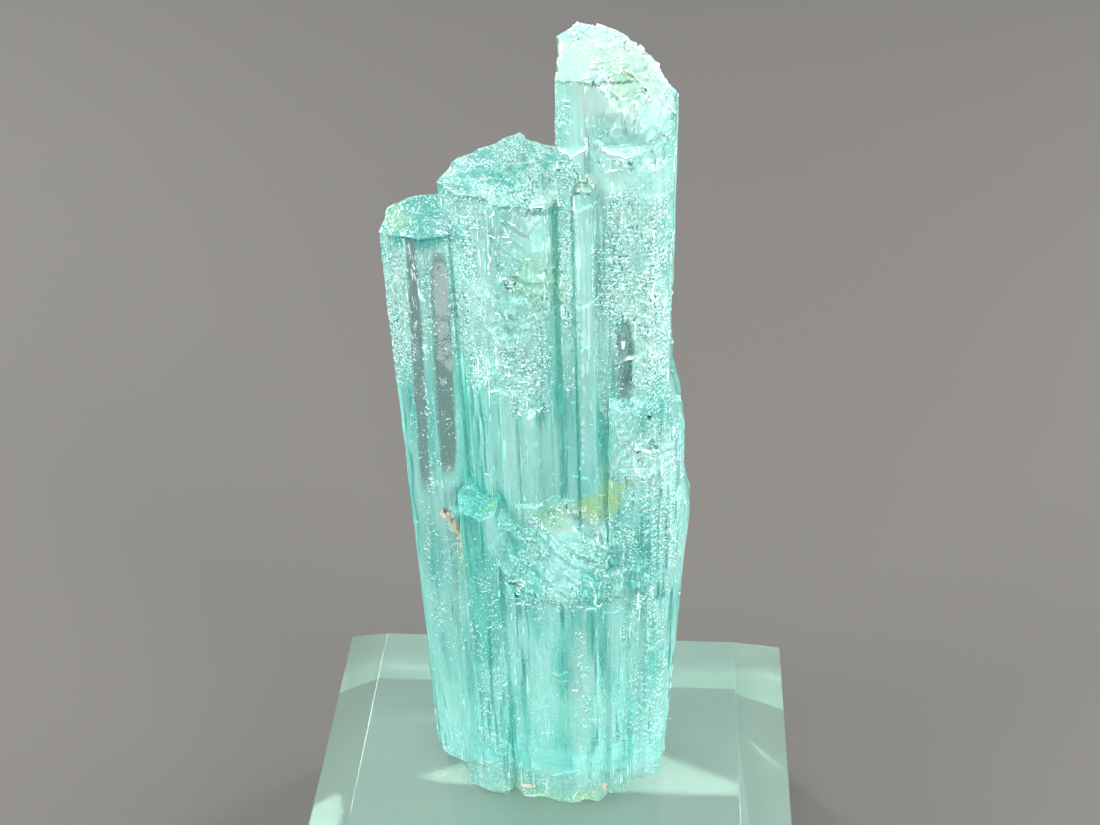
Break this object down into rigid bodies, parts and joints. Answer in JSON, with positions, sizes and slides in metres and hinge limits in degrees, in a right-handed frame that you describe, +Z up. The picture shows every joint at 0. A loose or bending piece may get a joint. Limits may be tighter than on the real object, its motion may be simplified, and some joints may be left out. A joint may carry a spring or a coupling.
{
  "type": "aquamarine crystal",
  "caption": "Cluster of tall, clear blue-green beryl prisms grown together, with striated sides and flat or broken ends, standing on a square clear display block with bevelled top edges.",
  "frame": {"origin": "middle of the underside of the display block", "axes": "+Z up along the crystals, +X to the right as the crystals are looked at, +Y away from the viewer"},
  "size_m": [0.038, 0.038, 0.0784],
  "materials": {
    "aquamarine": "clear blue-green beryl, glossy flat faces and rough broken ones",
    "clear_acrylic": "polished clear acrylic"
  },
  "bodies": {
    "root": {"aquamarine_crystals": "aquamarine", "display_block": "clear_acrylic"}
  },
  "joints": []
}
